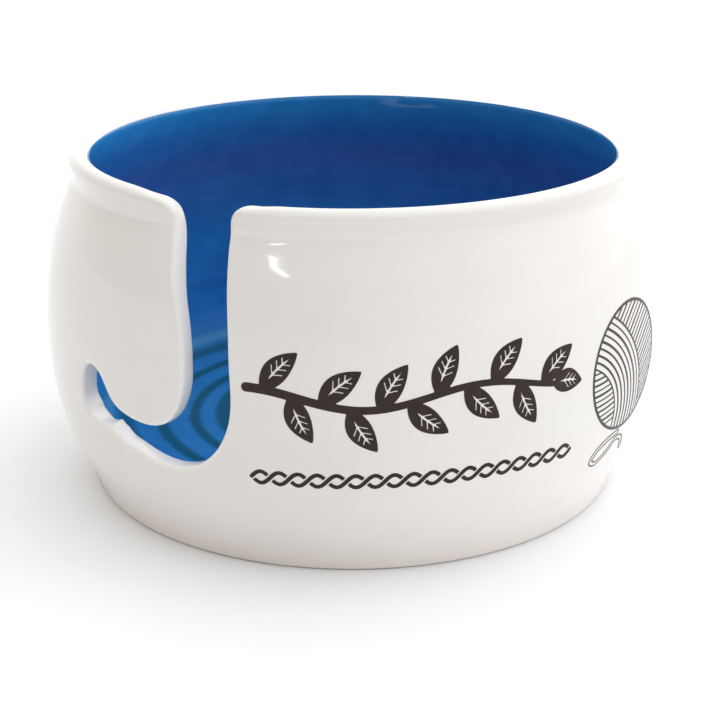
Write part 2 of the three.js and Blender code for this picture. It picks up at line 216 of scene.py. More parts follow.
# The inside is one smooth curve from above the rim to the middle of the floor.
inner_points = np.array(INNER)
inner_run = run_along(inner_points)
in_run = np.arange(0, inner_run[-1], STEP)
in_r, in_z = (smooth(pchip(inner_run, inner_points[:, k], in_run), INNER_SMOOTH / STEP)
              for k in (0, 1))
wall = in_z > LOW_Z - 2.0
wall_z, wall_r = in_z[wall][::-1], in_r[wall][::-1]
wall_slope = np.gradient(wall_r, wall_z)


def r_out(z):
    return np.interp(z, out_z, out_r)


def r_in(z):
    return np.interp(z, wall_z, wall_r)


def p_out(th, z):
    return spin(r_out(z), th, z)


def n_out(th, z):
    return unit(spin(1, th, -np.interp(z, out_z, out_slope)))


def p_in(th, z):
    return spin(r_in(z), th, z)


def n_in(th, z):
    return unit(spin(-1, th, np.interp(z, wall_z, wall_slope)))


def relief(r):
    """How far the floor dips at radius r."""
    return sum(RING_DEPTH * np.exp(-np.abs((r - at) / (half * 1.15)) ** 2.4)
               for at, half in RINGS)


# ------------------------------------------------------------------ outside line of the free edge
# The wall's free edge runs down through the slot and then round the rim.
outline = np.array(SLOT)
flat = np.stack([np.radians(outline[:, 0]) * R_FLAT, outline[:, 1]], 1)
run = run_along(flat)
n_fine = int(run[-1] / 0.1)
even = np.linspace(0, run[-1], n_fine)
fine = np.stack([smooth(pchip(run, flat[:, k], even), 8.0) for k in (0, 1)], 1)
tip, hook, turn = (nearest(fine[:, 0], fine[:, 1], (math.radians(deg) * R_FLAT, z))
                   for deg, z in (TIP, HOOK_TOP, TURN))
# Along some stretches the cut lies further into the slot: (point, mm)
INTO_SLOT = [(0, 0), (tip - 30, 0), (tip + 60, 0.30), (hook - 90, 0.62), (hook, 0.25),
             (hook + 30, 0), (turn - 10, 0), (turn + 40, 0.55), (n_fine - 150, 0.70),
             (n_fine - 60, 0.10), (n_fine, 0)]
shift = smooth(np.interp(np.arange(n_fine), *zip(*INTO_SLOT)), 12.0)
way = unit(np.gradient(fine, axis=0))
fine = fine + np.stack([-way[:, 1], way[:, 0]], 1) * shift[:, None]
run = run_along(fine)
n_slot = int(run[-1] / 0.5)
even = np.linspace(0, run[-1], n_slot)
slot_th = np.interp(even, run, fine[:, 0]) / R_FLAT
slot_z = np.minimum(np.interp(even, run, fine[:, 1]), TOP)

columns = np.radians(np.linspace(COLUMN_HI, COLUMN_LO + 360, 291))       # plain part of the wall
near_cols = np.radians(np.linspace(COLUMN_LO, COLUMN_HI, 50))            # under the slot
RIM_PITCH, RIM_GAP = 0.75, 0.35               # degrees, on the rim beside the slot
after_th = np.radians(np.arange(math.degrees(slot_th[-1]) + 0.6, COLUMN_HI - RIM_GAP, RIM_PITCH))
before_th = np.radians(np.arange(COLUMN_LO + RIM_PITCH, math.degrees(slot_th[0]) - RIM_GAP,
                                 RIM_PITCH))
edge_th = np.concatenate([slot_th, after_th, columns, before_th + 2 * math.pi])
N = len(edge_th)
edge_z = np.concatenate([slot_z, np.full(N - n_slot, TOP)])
i_hi = n_slot + len(after_th)                 # index of the column at COLUMN_HI
i_lo = i_hi + len(columns) - 1                # index of the column at COLUMN_LO
wrapped = np.where(edge_th > math.pi, edge_th - 2 * math.pi, edge_th)

# rimness is 1 along the rim and 0 down in the slot; corner peaks between the two
deg = np.degrees(wrapped)
number = np.arange(N)
in_slot = number < n_slot
first_low = int(np.argmax(edge_z < SLOT_BELOW))
last_low = n_slot - 1 - int(np.argmax(slot_z[::-1] < SLOT_BELOW))
rimness = np.ones(N)
first_part, last_part = in_slot & (number < first_low), in_slot & (number > last_low)
rimness[first_part] = np.clip((CORNER_LO[0] - deg) / CORNER_LO[1], 0, 1)[first_part]
rimness[last_part] = np.clip((deg - CORNER_HI[0]) / CORNER_HI[1], 0, 1)[last_part]
rimness[first_low:last_low + 1] = 0
rimness = ease(rimness)
corner = ease(np.clip((edge_z - CORNER_BELOW) / (TOP - CORNER_BELOW), 0, 1)) * (1 - rimness)


def tangent(points):
    return unit(np.roll(points, -1, 0) - np.roll(points, 1, 0))


outer_line = p_out(edge_th, edge_z)
into_outer = unit(np.cross(tangent(outer_line), n_out(edge_th, edge_z)))   # into the material

# ------------------------------------------------------------------ inside line of the free edge
# The slot is cut straight through, so it keeps its width inwards.
axis = math.radians(AXIS_DEG)
ratio = r_out(edge_z) / r_in(edge_z)
th_in = (axis + (wrapped - axis) * ratio) * (1 - rimness) + wrapped * rimness
z_in = edge_z - INNER_DROP * (1 - corner) * (1 - rimness)
# The slot was trimmed by hand, so its inside edge wanders: first down the tongue's free side,
tip, hook, hook_low = (nearest(deg[:n_slot], slot_z, place)
                       for place in (TIP, HOOK_TOP, HOOK_LOW))
aside = np.where(in_slot & (number <= tip), np.interp(edge_z, *zip(*ASIDE)), 0)
th_in = th_in + smooth(aside, 6.0) / R_FLAT
# then round the end of the hook and along the lower side.
th_in = th_in + np.where(in_slot, HOOK_ASIDE * bell(number, hook_low, HOOK_SPREAD), 0) / R_FLAT
deg_in = np.degrees(th_in)
low_side = in_slot & (number > hook) & (edge_z < LOW_SIDE_TOP)
z_in = z_in + low_side * sum(up * bell(deg_in, at, spread) for up, at, spread in LOW_WANDER)
th_in = np.where(edge_th > math.pi, th_in + 2 * math.pi, th_in)
inner_line = p_in(th_in, z_in)
into_inner = unit(np.cross(n_in(th_in, z_in), tangent(inner_line)))
through = unit(inner_line - outer_line)
thick = np.linalg.norm(inner_line - outer_line, axis=1)

lip_out = SLOT_LIP_OUT + (RIM_LIP_OUT - SLOT_LIP_OUT) * rimness + 0.5 * corner
lip_in = SLOT_LIP_IN + (RIM_LIP_IN - SLOT_LIP_IN) * rimness + 1.05 * corner
spur = smooth(np.where(low_side, bell(deg_in, SPUR_DEG, SPUR_SPREAD), 0), 3.0)
lip_in = lip_in * (1 - 0.52 * spur)
past_lip = PAST_LIP * (1 - 0.60 * spur)


# ------------------------------------------------------------------ rounded strip along the edge
def slide(points, direction, distance):
    """Angle and height where points land when they move along the wall."""
    moved = points + direction * distance[:, None]
    return np.arctan2(moved[:, 0], -moved[:, 1]), moved[:, 2]


rows, weights = [], []                        # places, and 1 on the cut falling to 0 on the wall


def add_inner_row(bend, further=0.0):
    """A row round the inside lip; bend is 0 at the cut and a right angle at the wall."""
    th, z = slide(inner_line, into_inner, lip_in * (1 - np.cos(bend)) + further)
    rows.append(p_in(th, z) - through * (lip_in * (1 - np.sin(bend)))[:, None])
    weights.append(np.cos(bend))


for k in range(K_OUT + 1):                    # from the outside surface to the cut face
    bend = (1 - k / K_OUT) * math.pi / 2
    th, z = slide(outer_line, into_outer, lip_out * (1 - math.cos(bend)))
    rows.append(p_out(th, z) + through * (lip_out * (1 - math.sin(bend)))[:, None])
    weights.append(np.full(N, math.cos(bend)))
for k in range(1, K_CUT):                     # across the cut face, with a slight crown
    w = k / K_CUT
    depth = lip_out + (thick - lip_out - lip_in) * w
    crown = (CROWN * 4 * w * (1 - w)) * (1 - rimness)[:, None]
    rows.append(outer_line + through * depth[:, None] - into_outer * crown)
    weights.append(np.full(N, 1.0))
turn_white = np.arccos(np.clip(1 - WHITE_DOWN / lip_in, 0, 1))
for k in range(K_IN + 1):                     # round the inside lip as far as the white goes
    add_inner_row(k / K_IN * turn_white)
SPLIT = len(rows) - 1
bend_left = lip_in * (math.pi / 2 - turn_white)
for k in range(1, K_BLUE + 1):                # the rest of the lip and a little wall, in blue
    gone = (bend_left + past_lip) * k / K_BLUE
    add_inner_row(np.minimum(turn_white + gone / lip_in, math.pi / 2),
                  np.maximum(gone - bend_left, 0))
strip = np.array(rows)                        # rows x N x 3
th_a, z_a = slide(outer_line, into_outer, lip_out)
th_b, z_b = slide(inner_line, into_inner, lip_in + past_lip)
plain = slice(i_hi, i_lo + 1)                 # here the strip meets the wall column by column
OUTER_TOP, INNER_TOP = TOP - RIM_LIP_OUT, TOP - RIM_LIP_IN - PAST_LIP
th_a[plain] = th_b[plain] = wrapped[plain]
z_a[plain], z_b[plain] = OUTER_TOP, INNER_TOP
strip[0], strip[-1] = p_out(th_a, z_a), p_in(th_b, z_b)
along = np.roll(strip, -1, 1) - np.roll(strip, 1, 1)
over = np.empty_like(strip)
over[1:-1] = strip[2:] - strip[:-2]
over[0], over[-1] = strip[1] - strip[0], strip[-1] - strip[-2]
strip_n = unit(np.cross(along, over))
strip_n *= np.sign((strip_n[0] * n_out(th_a, z_a)).sum(-1).mean())
strip_n[0], strip_n[-1] = n_out(th_a, z_a), n_in(th_b, z_b)


# ------------------------------------------------------------------ mesh building
class Surface:
    """Points with normals and an edge weight, and faces with a tag, welded where they meet."""

    def __init__(self):
        self.places, self.normals, self.weights = [], [], []
        self.faces, self.tags, self.count = [], [], 0

    def points(self, places, normals, weights=None):
        places = np.asarray(places, float).reshape(-1, 3)
        self.places.append(places)
        self.normals.append(np.asarray(normals, float).reshape(-1, 3))
        self.weights.append(np.zeros(len(places)) if weights is None else weights.ravel())
        start = self.count
        self.count += len(places)
        return np.arange(start, self.count)

    def add(self, faces, tag):
        for face in faces:
            self.faces.append(tuple(int(i) for i in face))
            self.tags.append(tag)

    def grid(self, index, tag, closed):
        """Quads over point numbers laid out as rows x columns."""
        after = np.roll(index, -1, 1)
        last = index.shape[1] if closed else index.shape[1] - 1
        quads = np.stack([index[:-1, :last], index[1:, :last], after[1:, :last],
                          after[:-1, :last]], -1)
        self.add(quads.reshape(-1, 4), tag)

    def weld(self):
        places, normals = np.concatenate(self.places), np.concatenate(self.normals)
        # cells of 1/2000 mm, offset so that round numbers don't fall on a cell's edge
        key = np.floor(places * 2000 + 0.317).astype(np.int64)
        _, first, back = np.unique(key, axis=0, return_index=True, return_inverse=True)
        back = back.ravel()
        summed = np.zeros((len(first), 3))
        np.add.at(summed, back, normals)
        self.places, self.normals = places[first], unit(summed)
        self.weights = np.concatenate(self.weights)[first]
        faces, tags = [], []
        for old, tag in zip(self.faces, self.tags):
            face = [int(back[i]) for i in old]
            face = [face[i] for i in range(len(face)) if face[i] != face[i - 1]]
            if len(face) >= 3 and len(set(face)) == len(face):
                faces.append(tuple(face))
                tags.append(tag)
        # every face is turned to agree with the normals of its corners
        for i, face in enumerate(faces):
            q = self.places[list(face)]
            facing = np.zeros(3)
            for j in range(1, len(face) - 1):
                facing += np.cross(q[j] - q[0], q[j + 1] - q[0])
            if facing @ self.normals[list(face)].sum(0) < 0:
                faces[i] = face[::-1]
        self.faces, self.tags = faces, tags


WHITE, BLUE, CLAY = 0, 1, 2
shell = Surface()
index = shell.points(strip, strip_n, np.array(weights)).reshape(len(strip), N)
shell.grid(index[:SPLIT + 1], WHITE, True)
shell.grid(index[SPLIT:], BLUE, True)


# ------------------------------------------------------------------ wall
def inside(polygon, points):
    x, y = points[:, 0], points[:, 1]
    hit = np.zeros(len(points), bool)
    for (xi, yi), (xj, yj) in zip(polygon, np.roll(polygon, 1, 0)):
        crosses = (yi > y) != (yj > y)
        hit ^= crosses & (x < (xj - xi) * (y - yi) / (yj - yi + 1e-30) + xi)
    return hit


PATCH_GAP, PATCH_CLEAR = 1.25, 0.62           # pitch of the inner points; clearance to the border


def patch(ring_th, ring_z, zs, point, normal, tag):
    """Triangles between the slot's rounded edge and the plain wall round it."""
    ring = np.stack([ring_th * R_FLAT, ring_z], 1)
    right = np.stack([np.full(len(zs), near_cols[-1] * R_FLAT), zs], 1)
    bottom = np.stack([near_cols[::-1] * R_FLAT, np.full(len(near_cols), zs[-1])], 1)
    left = np.stack([np.full(len(zs), near_cols[0] * R_FLAT), zs[::-1]], 1)
    loop = np.concatenate([ring[:-1], right[:-1], bottom[:-1], left[:-1]])
    xs = np.arange(loop[:, 0].min() + PATCH_GAP / 2, loop[:, 0].max(), PATCH_GAP)
    ys = np.arange(zs[-1] + PATCH_GAP * 0.8, zs[0] + 3, PATCH_GAP * 0.87)
    grid_x, grid_y = np.meshgrid(xs, ys)
    grid_x = grid_x + (np.arange(len(ys)) % 2)[:, None] * PATCH_GAP / 2
    points = np.stack([grid_x.ravel(), grid_y.ravel()], 1)
    points = points[inside(loop, points)]
    keep = np.ones(len(points), bool)
    for i in range(0, len(points), 500):      # in batches, to spare memory
        gaps = np.sqrt(((points[i:i + 500, None] - loop[None]) ** 2).sum(-1)).min(1)
        keep[i:i + 500] = gaps > PATCH_CLEAR
    every = np.concatenate([loop, points[keep]])
    spots, _, faces, origin, _, _ = geometry.delaunay_2d_cdt(
        [Vector(p) for p in every], [], [list(range(len(loop)))], 1, 1e-6, True)
    spots = np.array([[v.x, v.y] for v in spots])
    for i, source in enumerate(origin):       # back to full precision
        if source:
            spots[i] = every[source[0]]
    th, z = spots[:, 0] / R_FLAT, spots[:, 1]
    index = shell.points(point(th, z), normal(th, z))
    faces = np.array(faces)
    shell.add(index[faces[inside(loop, spots[faces].mean(1))]], tag)


# the edge from the column at COLUMN_LO through the slot to the one at COLUMN_HI
round_slot = np.concatenate([np.arange(i_lo, N), np.arange(0, i_hi + 1)])
for ring_th, ring_z, top, point, normal, tag in (
        (th_a, z_a, OUTER_TOP, p_out, n_out, WHITE), (th_b, z_b, INNER_TOP, p_in, n_in, BLUE)):
    zs = np.concatenate([np.linspace(top, ROW_BREAK_Z, 14)[:-1],
                         np.linspace(ROW_BREAK_Z, LOW_Z, 43)])
    patch(ring_th[round_slot], ring_z[round_slot], zs, point, normal, tag)
    th, z = np.meshgrid(columns, zs)
    index = shell.points(point(th, z), normal(th, z)).reshape(th.shape)
    shell.grid(index if tag == WHITE else index[:, ::-1], tag, False)

# ------------------------------------------------------------------ turned parts below the slot
full = np.concatenate([near_cols[:-1], columns[:-1]])


def lathe(section, normals):
    """Points for a section of (radius, height) turned through every column."""
    th, k = np.meshgrid(full, np.arange(len(section)))
    return shell.points(spin(section[k, 0], th, section[k, 1]),
                        spin(normals[k, 0], th, normals[k, 1])).reshape(th.shape)


def disc(ring, radii, height, up, tag):
    """Fills a turned disc inside a ring of points, with a third of the columns."""
    th, r = np.meshgrid(full[::3], radii)
    slope = (height(r + 0.02) - height(r - 0.02)) / 0.04
    normals = unit(spin(-slope, th, np.ones_like(r))) * up
    g = shell.points(spin(r, th, height(r)), normals).reshape(r.shape)
    count = r.shape[1]
    faces = []
    for j in range(count):
        outer = [ring[3 * j], ring[3 * j + 1], ring[3 * j + 2], ring[(3 * j + 3) % len(ring)]]
        face = outer + [g[0, (j + 1) % count], g[0, j]]
        faces.append(face if up > 0 else face[4:][::-1] + outer[::-1])
    shell.add(faces, tag)
    shell.grid(g, tag, True)
    centre = shell.points([[0, 0, float(height(0.0))]], [[0, 0, up]])[0]
    shell.add([[g[-1, j], centre, g[-1, (j + 1) % count]] for j in range(count)], tag)


# outside, with the rolled lower edge of the coat
low = np.array([(z, 0.0, 0.0) for z in np.linspace(LOW_Z, 1.6, 15)] + COAT_ROLL)
th, z = np.meshgrid(full, low[:, 0])
normals = n_out(th, z)
places = p_out(th, z) - normals * low[:, 1][:, None, None]
normals[..., 2] -= low[:, 2][:, None]
g_low = shell.points(places, unit(normals)).reshape(th.shape)
shell.grid(g_low, WHITE, True)

# the bare clay foot, its flat ring, and the hollowed underside
foot = np.array(FOOT)
run_foot = np.gradient(np.concatenate([[FOOT_LEAD], foot]), axis=0)[1:]
g_foot = lathe(foot, unit(np.stack([-run_foot[:, 1], run_foot[:, 0]], 1)))
shell.grid(np.concatenate([g_low[-1:], g_foot]), CLAY, True)
disc(g_foot[-1], np.array([18.0, 13.0, 8.0, 3.5]), lambda r: UNDERSIDE_Z + 0 * r, -1, CLAY)

# the blue floor and the curve up into the wall
FLOOR_PITCH = 0.85
low_start = in_run[np.argmax(in_z < LOW_Z)]
floor_run = np.concatenate([np.arange(low_start, low_start + 8, 1.0),
                            np.arange(low_start + 8, in_run[-1] - 21.5, FLOOR_PITCH)])
floor_r, floor_z = np.interp(floor_run, in_run, in_r), np.interp(floor_run, in_run, in_z)
floor_z = floor_z - relief(floor_r)
floor_r[0], floor_z[0] = float(r_in(LOW_Z)), LOW_Z
floor_n = unit(np.stack([np.gradient(floor_z), -np.gradient(floor_r)], 1))
_, y, z = n_in(0.0, LOW_Z)
floor_n[0] = -y, z
g_floor = lathe(np.stack([floor_r, floor_z], 1), floor_n)
shell.grid(g_floor[:, ::-1], BLUE, True)
disc(g_floor[-1], np.arange(float(floor_r[-1]) - FLOOR_PITCH, 0.8, -FLOOR_PITCH),
     lambda r: FLOOR_Z - relief(r), 1, BLUE)
shell.weld()


# ------------------------------------------------------------------ objects
def to_world(places):
    return places * MM + np.array([CX, CY, Z0])


def make_object(name, places, faces, normals, edge=None):
    mesh = bpy.data.meshes.new(name)
    mesh.from_pydata([tuple(p) for p in to_world(places)], [], faces)
    mesh.validate(verbose=False)
    mesh.polygons.foreach_set("use_smooth", np.ones(len(mesh.polygons), bool))
    if edge is not None:
        attribute = mesh.attributes.new("edge", "FLOAT", "POINT")
        attribute.data.foreach_set("value", np.asarray(edge, np.float32))
    mesh.normals_split_custom_set_from_vertices([tuple(n) for n in normals])
    mesh.update()
    ob = bpy.data.objects.new(name, mesh)
    bpy.context.scene.collection.objects.link(ob)
    return ob


def edges_of(faces):
    return ((a, b) for face in faces for a, b in zip(face, face[1:] + face[:1]))


def closed_skin(faces, edges, count):
    """Faces with a back whose points are numbered `count` higher, and sides along the rims."""
    back = [tuple(i + count for i in face[::-1]) for face in faces]
    sides = [(b, a, a + count, b + count) for a, b in edges if (b, a) not in edges]
    return faces + back + sides


def sheet(name, tag):
    """The faces with one tag, as a thin closed skin."""
    faces = [face for face, t in zip(shell.faces, shell.tags) if t == tag]
    used = np.unique(np.concatenate([np.array(face) for face in faces]))
    new = np.full(len(shell.places), -1)
    new[used] = np.arange(len(used))
    faces = [tuple(int(new[i]) for i in face) for face in faces]
    p, n, edge = shell.places[used], shell.normals[used], shell.weights[used]
    return make_object(name, np.concatenate([p, p - n * GLAZE_THICK]),
                       closed_skin(faces, dict.fromkeys(edges_of(faces)), len(p)),
                       np.concatenate([n, -n]), np.concatenate([edge, edge]))


white_coat = sheet("white_coat", WHITE)
blue_lining = sheet("blue_lining", BLUE)

# the body lies just under the glaze
inset = np.zeros(len(shell.places))
for face, tag in zip(shell.faces, shell.tags):
    if tag != CLAY:
        inset[list(face)] = CLAY_INSET
clay_body = make_object("clay_body", shell.places - shell.normals * inset[:, None],
                        shell.faces, shell.normals, shell.weights)


# ------------------------------------------------------------------ shader helpers
class Shader:
    """Builds a node tree. Values may be numbers, colours or output sockets."""

    def __init__(self, tree):
        self.tree = tree
        tree.nodes.clear()

    def put(self, socket, value):
        if isinstance(value, bpy.types.NodeSocket):
            self.tree.links.new(value, socket)
        elif socket.type == "RGBA" and len(value) == 3:
            socket.default_value = (*value, 1)
        else:
            socket.default_value = value

    def add(self, kind, *inputs, **named):
        """A node, with inputs given in order or by name."""
        node = self.tree.nodes.new(kind)
        for i, value in enumerate(inputs):
            self.put(node.inputs[i], value)
        for name, value in named.items():
            self.put(node.inputs[name.replace("_", " ")], value)
        return node

    def math(self, operation, *values, clamp=False):
        node = self.tree.nodes.new("ShaderNodeMath")
        node.operation, node.use_clamp = operation, clamp
        for i, value in enumerate(values):
            self.put(node.inputs[i], value)
        return node.outputs[0]

    def plus(self, a, b):
        return self.math("ADD", a, b)

    def times(self, a, b):
        return self.math("MULTIPLY", a, b)

    def invert(self, value, clamp=False):
        return self.math("SUBTRACT", 1.0, value, clamp=clamp)

    def rise(self, value, start, rate):
        """0 up to start, then rising to 1."""
        return self.math("MULTIPLY", self.math("SUBTRACT", value, start), rate, clamp=True)

    def fall(self, value, end, rate):
        """Falling from 1 to 0 at end."""
        return self.math("MULTIPLY", self.math("SUBTRACT", end, value), rate, clamp=True)

    def share(self, value, whole):
        return self.math("DIVIDE", value, whole, clamp=True)

    def wander(self, noise, width):
        return self.times(self.math("SUBTRACT", noise, 0.5), width)

    def vector_math(self, operation, *inputs):
        node = self.add("ShaderNodeVectorMath", *inputs)
        node.operation = operation
        return node.outputs["Value"]

    def mix(self, base, over, factor, how="MIX"):
        node = self.tree.nodes.new("ShaderNodeMix")
        node.data_type, node.blend_type = "RGBA", how
        for i, value in ((0, factor), (6, base), (7, over)):
            self.put(node.inputs[i], value)
        return node.outputs[2]

    def tint(self, base, colour, mask, strength):
        return self.mix(base, colour, self.times(mask, strength))

    def multiply(self, base, colour):
        return self.mix(base, colour, 1.0, "MULTIPLY")

    def ramp(self, value, stops):
        """Eased ramp through stops of (position, number or colour)."""
        node = self.add("ShaderNodeValToRGB", value)
        ramp = node.color_ramp
        ramp.interpolation = "EASE"
        while len(ramp.elements) < len(stops):
            ramp.elements.new(0.5)
        for element, (at, c) in zip(ramp.elements, stops):
            element.position = at
            element.color = (c, c, c, 1) if isinstance(c, (int, float)) else (*c, 1)
        return node.outputs[0]

    def fade(self, value, start, end, low=0.0, high=1.0):
        return self.ramp(value, [(start, low), (end, high)])

    def noise(self, place, size, detail=2.0, rough=0.5, distort=0.0):
        """Noise with features about `size` across."""
        return self.add("ShaderNodeTexNoise", Vector=place, Scale=1.0 / size, Detail=detail,
                        Roughness=rough, Distortion=distort).outputs[0]

    def millimetres(self):
        """Place on the object, from the centre of the foot."""
        place = self.tree.nodes.new("ShaderNodeTexCoord").outputs["Object"]
        mapping = self.add("ShaderNodeMapping", Vector=place)
        mapping.vector_type = "TEXTURE"
        mapping.inputs["Location"].default_value = (CX, CY, Z0)
        mapping.inputs["Scale"].default_value = (MM, MM, MM)
        return mapping.outputs[0]

    def height_and_radius(self, place):
        x, y, z = self.add("ShaderNodeSeparateXYZ", place).outputs
        level = self.add("ShaderNodeCombineXYZ", X=x, Y=y).outputs[0]
        return z, self.vector_math("LENGTH", level)

    def bumps(self, *layers):
        """Bumps one over another, from layers of (height field, mm high)."""
        normal = None
        for field, high in layers:
            node = self.add("ShaderNodeBump", Strength=1.0, Distance=high * MM, Height=field)
            if normal is not None:
                self.put(node.inputs["Normal"], normal)
            normal = node.outputs[0]
        return normal

    def output(self, shader, kind="ShaderNodeOutputMaterial"):
        self.add(kind, shader)

    def principled(self, **inputs):
        return self.add("ShaderNodeBsdfPrincipled", **inputs).outputs[0]


def material(name):
    mat = bpy.data.materials.new(name)
    mat.use_nodes = True
    return mat, Shader(mat.node_tree)


RAMP_SPAN = 90.0                              # height or radius at the end of a ramp, mm


# ------------------------------------------------------------------ materials
def white_glaze():
    # painted light by height, as a share of RAMP_SPAN: lighter near the foot and at the neck crease
    # to offset the shade there, a little darker on the rim band
    by_height = [
        (0.0, (1.045, 1.01, 0.985)), (0.045, (1.055, 1.025, 1.0)), (0.12, (1.065, 1.055, 1.045)),
        (0.42, (1.0, 1.0, 1.0)), (0.62, (1.0, 1.0, 1.0)), (0.78, (1.015, 1.015, 1.015)),
        (0.86, (1.03, 1.025, 1.02)), (0.905, (1.045, 1.04, 1.035)), (0.925, (1.035, 1.03, 1.02)),
        (0.95, (0.985, 0.98, 0.97)), (0.98, (0.985, 0.98, 0.97))]
    near_rim = dict(start=86.5, rate=2.0)
    mat, k = material("white_glaze")
    mm = k.millimetres()
    broad = k.noise(mm, size=60)
    dapple = k.noise(mm, size=14, detail=3, rough=0.55)
    peel = k.noise(mm, size=5.0)
    fine = k.noise(mm, size=0.9, detail=3, rough=0.6)
    z, radius = k.height_and_radius(mm)
    edge = k.add("ShaderNodeAttribute")
    edge.attribute_name = "edge"
    edge = edge.outputs["Fac"]
    thin = k.times(edge, k.fade(dapple, start=0.35, end=0.75, low=0.35))
    col = k.mix((0.778, 0.755, 0.728), (0.803, 0.782, 0.757),
                factor=k.fade(broad, start=0.3, end=0.7))
    col = k.tint(col, (0.748, 0.722, 0.690), k.fade(dapple, start=0.4, end=0.8), strength=0.25)
    col = k.tint(col, (0.83, 0.82, 0.81), thin, strength=0.5)
    # painted light: whiter on the cut low in the slot, standing in for light reaching it through the
    # mouth
    painted_light_on_cut = k.times(k.math("MULTIPLY", edge, 1.3, clamp=True), k.fall(z, end=40.0, rate=0.10))
    col = k.tint(col, (0.955, 0.94, 0.905), painted_light_on_cut, strength=0.85)
    # painted light and shade by height, from the table above
    col = k.multiply(col, k.ramp(k.share(z, RAMP_SPAN), by_height))
    # painted light: whiter along the crest of the rim and on its inner lip, which would otherwise lie
    # grey in shade; tinted where it meets the blue inside
    within = k.fall(radius, end=71.6, rate=1.2)
    col = k.tint(col, (0.93, 0.92, 0.905), k.rise(z, start=88.2, rate=1.1), strength=0.55)
    col = k.tint(col, (0.95, 0.95, 0.945), k.times(within, k.rise(z, **near_rim)), strength=0.7)
    meet = k.times(k.times(k.fall(z, end=88.45, rate=2.6), within), k.rise(z, **near_rim))
    col = k.tint(col, (0.36, 0.52, 0.74), meet, strength=0.55)
    # warmer where the coat thins out above the foot
    low = k.times(k.invert(k.share(z, whole=4.0), clamp=True),
                  k.fade(dapple, start=0.3, end=0.7, low=0.3))
    col = k.tint(col, (0.66, 0.62, 0.56), low, strength=0.22)
    # a few tiny specks: largest size and the share of cells without one
    speck_size, bare_share = 0.045, 0.93
    cells = k.add("ShaderNodeTexVoronoi", Vector=mm, Scale=0.16)
    chance, size, _ = k.add("ShaderNodeSeparateColor", cells.outputs["Color"]).outputs
    dot = k.times(k.math("LESS_THAN", cells.outputs["Distance"], k.times(size, speck_size)),
                  k.math("GREATER_THAN", chance, bare_share))
    col = k.tint(col, (0.30, 0.23, 0.17), dot, strength=0.18)
    fine_rough = 0.02
    rough = k.plus(k.fade(dapple, start=0.3, end=0.75, low=0.06, high=0.105),
                   k.times(fine, fine_rough))
    k.output(k.principled(
        Base_Color=col, Roughness=rough, Normal=k.bumps((broad, 0.06), (peel, 0.010), (fine, 0.0012)),
        IOR=1.50, Coat_Weight=0.22, Coat_Roughness=0.035, Coat_IOR=1.5))
    return mat


